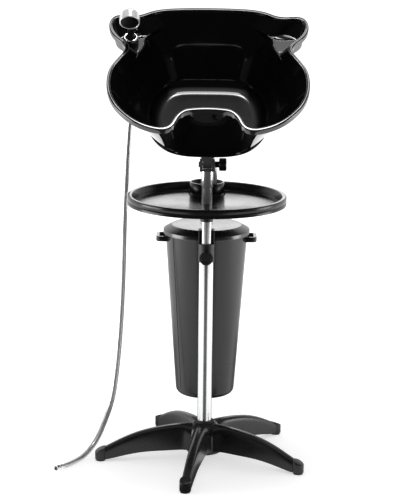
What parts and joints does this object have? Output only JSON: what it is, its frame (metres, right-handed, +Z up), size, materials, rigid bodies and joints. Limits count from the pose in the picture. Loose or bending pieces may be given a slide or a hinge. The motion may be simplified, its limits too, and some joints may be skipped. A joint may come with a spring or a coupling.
{
  "type": "portable shampoo basin",
  "caption": "Tilting shampoo basin with neck notch and hand sprayer on a height-adjustable chrome column, with a round tray, a hanging drain bucket and a star base.",
  "frame": {"origin": "on the floor, under the axis of the column", "axes": "+Z up along the column; -Y towards the neck notch, the side the client sits on; +X to the right seen from the front"},
  "size_m": [0.6047, 0.5116, 1.1067],
  "materials": {
    "black_gloss": "polished black moulding",
    "black_satin": "fine satin black moulding",
    "black_knob": "satin black",
    "chrome": "bright chrome",
    "steel": "plain zinc",
    "brass": "turned brass",
    "rubber": "soft black rubber",
    "nylon": "natural nylon",
    "grey_hose": "smooth grey flexible hose"
  },
  "bodies": {
    "stand": {"base_star": "black_satin", "foot_glide_1": "rubber", "foot_glide_2": "rubber", "foot_glide_3": "rubber", "foot_glide_4": "rubber", "foot_glide_5": "rubber", "hub_ring": "rubber", "tube_plug": "steel", "base_washer": "steel", "base_bolt": "steel", "outer_tube": "chrome", "column_collar": "black_knob", "guide_bush": "nylon", "bucket_hanger": "black_knob", "hanger_screw": "steel", "spray_hose_lower": "grey_hose", "hose_ferrule": "chrome", "hose_end_nut": "chrome"},
    "lift": {"inner_tube": "chrome", "foot_bush": "nylon", "tray_collar": "black_knob", "tray_set_screw": "steel", "tray": "black_satin", "head_sleeve": "chrome", "tilt_socket": "black_knob", "pivot_bolt": "steel", "spray_hose_upper": "grey_hose", "drain_hose": "grey_hose"},
    "basin": {"basin_shell": "black_gloss", "tilt_lug": "black_knob", "lug_screws": "steel", "drain_flange": "chrome", "drain_gasket": "rubber", "drain_nut": "black_knob", "drain_tail": "black_knob", "holder_gasket": "rubber", "holder_shank": "black_knob", "holder_ring": "chrome", "holder_nut": "black_knob"},
    "height_knob": {"height_knob": "black_knob", "height_knob_stud": "steel"},
    "tilt_knob": {"tilt_knob": "black_knob", "tilt_knob_insert": "brass"},
    "sprayer": {"sprayer_head": "chrome", "spray_face": "black_knob", "sprayer_handle": "black_knob", "sprayer_ferrule": "chrome"},
    "strainer": {"drain_strainer": "chrome"},
    "bucket": {"bucket_body": "black_satin", "bucket_hook": "black_satin"},
    "bucket_lid": {"bucket_lid": "black_satin"}
  },
  "joints": [
    {"name": "column_height", "type": "slide", "parent": "stand", "child": "lift", "axis": [0, 0, 1], "range_m": [0, 0.3], "deforming": ["spray_hose_lower"]},
    {"name": "basin_tilt", "type": "hinge", "parent": "lift", "child": "basin", "pos_m": [0, 0, 0.735], "axis": [1, 0, 0], "range_deg": [-35, 8], "deforming": ["spray_hose_upper", "drain_hose"]},
    {"name": "height_lock", "type": "hinge", "parent": "stand", "child": "height_knob", "pos_m": [0, -0.03, 0.511], "axis": [0, -1, 0], "continuous": true},
    {"name": "tilt_lock", "type": "hinge", "parent": "lift", "child": "tilt_knob", "pos_m": [0.037, 0, 0.735], "axis": [1, 0, 0], "continuous": true},
    {"name": "sprayer_lift", "type": "slide", "parent": "basin", "child": "sprayer", "axis": [0, -0.5736, 0.8192], "range_m": [0, 0.045]},
    {"name": "strainer_lift", "type": "slide", "parent": "basin", "child": "strainer", "axis": [0, -0.5736, 0.8192], "range_m": [0, 0.03]},
    {"name": "bucket_unhook", "type": "slide", "parent": "stand", "child": "bucket", "axis": [0, 0, 1], "range_m": [0, 0.025]},
    {"name": "lid_lift", "type": "slide", "parent": "bucket", "child": "bucket_lid", "axis": [0, 0, 1], "range_m": [0, 0.02]}
  ]
}
